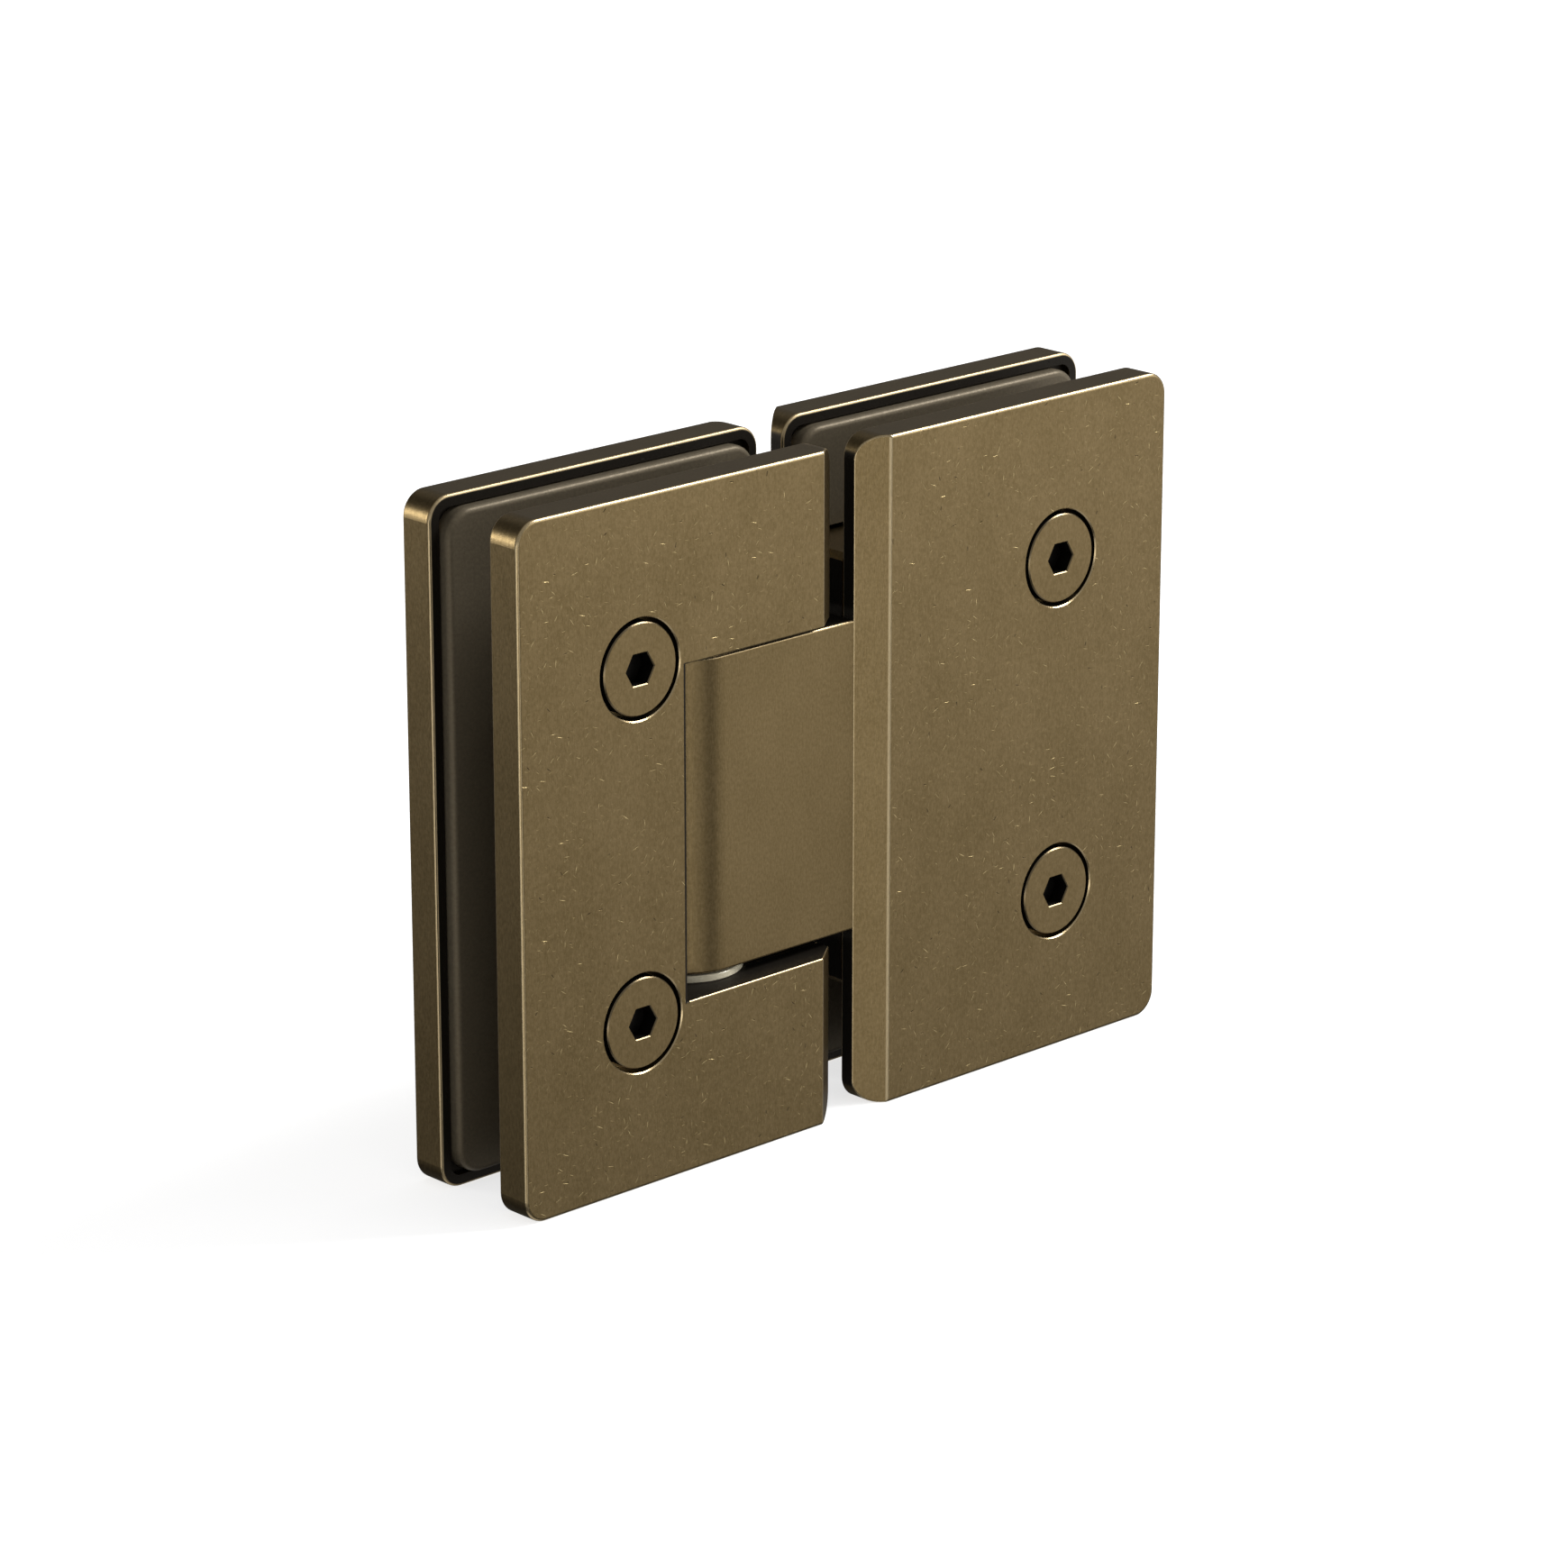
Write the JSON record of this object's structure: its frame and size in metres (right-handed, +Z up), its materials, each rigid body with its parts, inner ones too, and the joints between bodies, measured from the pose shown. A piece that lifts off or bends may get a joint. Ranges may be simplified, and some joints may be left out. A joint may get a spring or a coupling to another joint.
{
  "type": "glass door hinge",
  "caption": "Glass-to-glass shower door hinge in aged brass: two clamp leaves with rubber pads and a spring-detent knuckle on a vertical pin.",
  "frame": {"origin": "bottom of the plates, midway between the two leaves, in the middle plane of the glass", "axes": "+X from the fixed leaf to the door leaf, +Y from the front to the rear, +Z up along the hinge pin"},
  "size_m": [0.1134, 0.0212, 0.09],
  "materials": {
    "aged_brass": "satin brushed, aged brown, with fine scratches",
    "smooth_brass": "satin, fine vertical grain",
    "screw_brass": "satin turned head",
    "pad_rubber": "satin moulded",
    "pin_steel": "ground",
    "washer_plastic": "smooth",
    "bush_plastic": "smooth",
    "dark_steel": "blackened"
  },
  "bodies": {
    "fixed_leaf": {"left_front_plate": "aged_brass", "left_front_pad": "pad_rubber", "left_rear_plate": "aged_brass", "left_rear_pad": "pad_rubber", "left_clamp_screws": "screw_brass", "left_block_screws": "dark_steel", "pin_block": "smooth_brass", "hinge_pin": "pin_steel", "lower_washer": "washer_plastic", "upper_washer": "washer_plastic", "pin_grub_screws": "dark_steel"},
    "door_leaf": {"right_front_plate": "aged_brass", "right_front_pad": "pad_rubber", "right_rear_plate": "aged_brass", "right_rear_pad": "pad_rubber", "right_clamp_screws": "screw_brass", "right_block_screws": "dark_steel", "knuckle": "smooth_brass", "lower_bush": "bush_plastic", "upper_bush": "bush_plastic", "lower_spring": "pin_steel", "upper_spring": "pin_steel", "spring_screws": "dark_steel"},
    "lower_detent": {"lower_plunger": "pin_steel"},
    "upper_detent": {"upper_plunger": "pin_steel"}
  },
  "joints": [
    {"name": "door_swing", "type": "hinge", "parent": "fixed_leaf", "child": "door_leaf", "pos_m": [-0.02025, 0, 0.045], "axis": [0, 0, 1], "range_deg": [-90, 90]},
    {"name": "lower_detent_travel", "type": "slide", "parent": "door_leaf", "child": "lower_detent", "axis": [1, 0, 0], "range_m": [-0.0004, 0]},
    {"name": "upper_detent_travel", "type": "slide", "parent": "door_leaf", "child": "upper_detent", "axis": [1, 0, 0], "range_m": [-0.0004, 0]}
  ]
}
